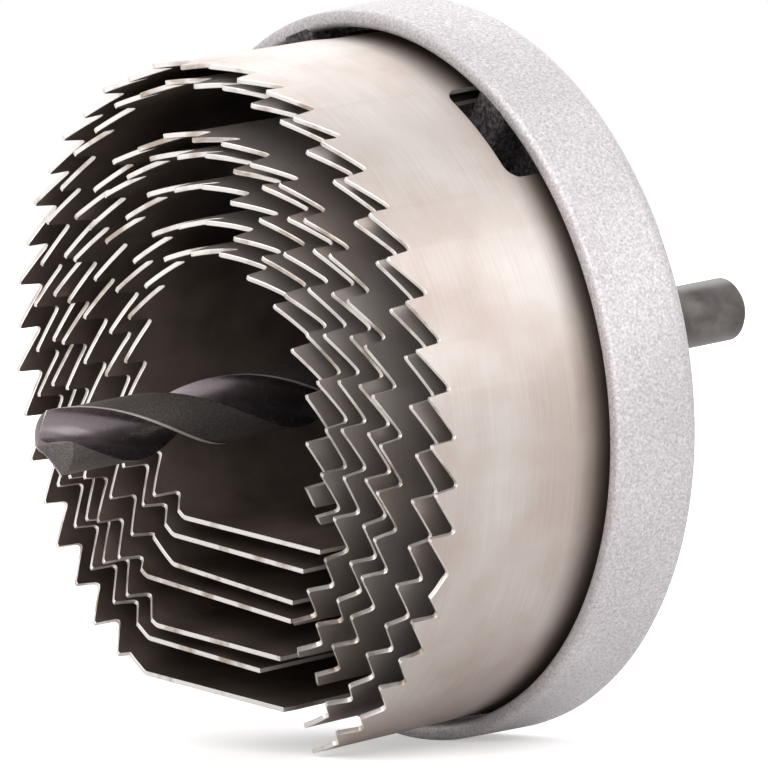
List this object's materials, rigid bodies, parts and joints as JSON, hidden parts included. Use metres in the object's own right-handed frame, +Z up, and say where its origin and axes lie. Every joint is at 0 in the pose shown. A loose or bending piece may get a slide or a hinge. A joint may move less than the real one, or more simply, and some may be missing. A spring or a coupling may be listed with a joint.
{
  "type": "hole saw",
  "caption": "Nested hole saw: C-shaped toothed steel blades standing in the ring grooves of a cast head, round a pilot twist drill whose plain end is the shank.",
  "frame": {"origin": "on the surface that the saw lies on, under the middle of its bounding box", "axes": "+X along the saw towards its shank, with the saw's own axis rising a few degrees that way; +Z up; -Y the side that the free ends of the blades point to"},
  "size_m": [0.0798, 0.0678, 0.0679],
  "materials": {
    "cast_aluminium": "die-cast, grained, matt",
    "blade_steel": "rolled spring steel, fine brushed, thin oil film inside",
    "black_oxide_steel": "black oxide, satin",
    "set_screw_steel": "black oxide, satin"
  },
  "bodies": {
    "root": {"head_casting": "cast_aluminium", "saw_blade_63mm": "blade_steel", "saw_blade_56mm": "blade_steel", "saw_blade_50mm": "blade_steel", "saw_blade_45mm": "blade_steel", "saw_blade_38mm": "blade_steel", "saw_blade_32mm": "blade_steel", "saw_blade_26mm": "blade_steel", "pilot_drill": "black_oxide_steel", "drill_set_screw": "set_screw_steel"}
  },
  "joints": []
}
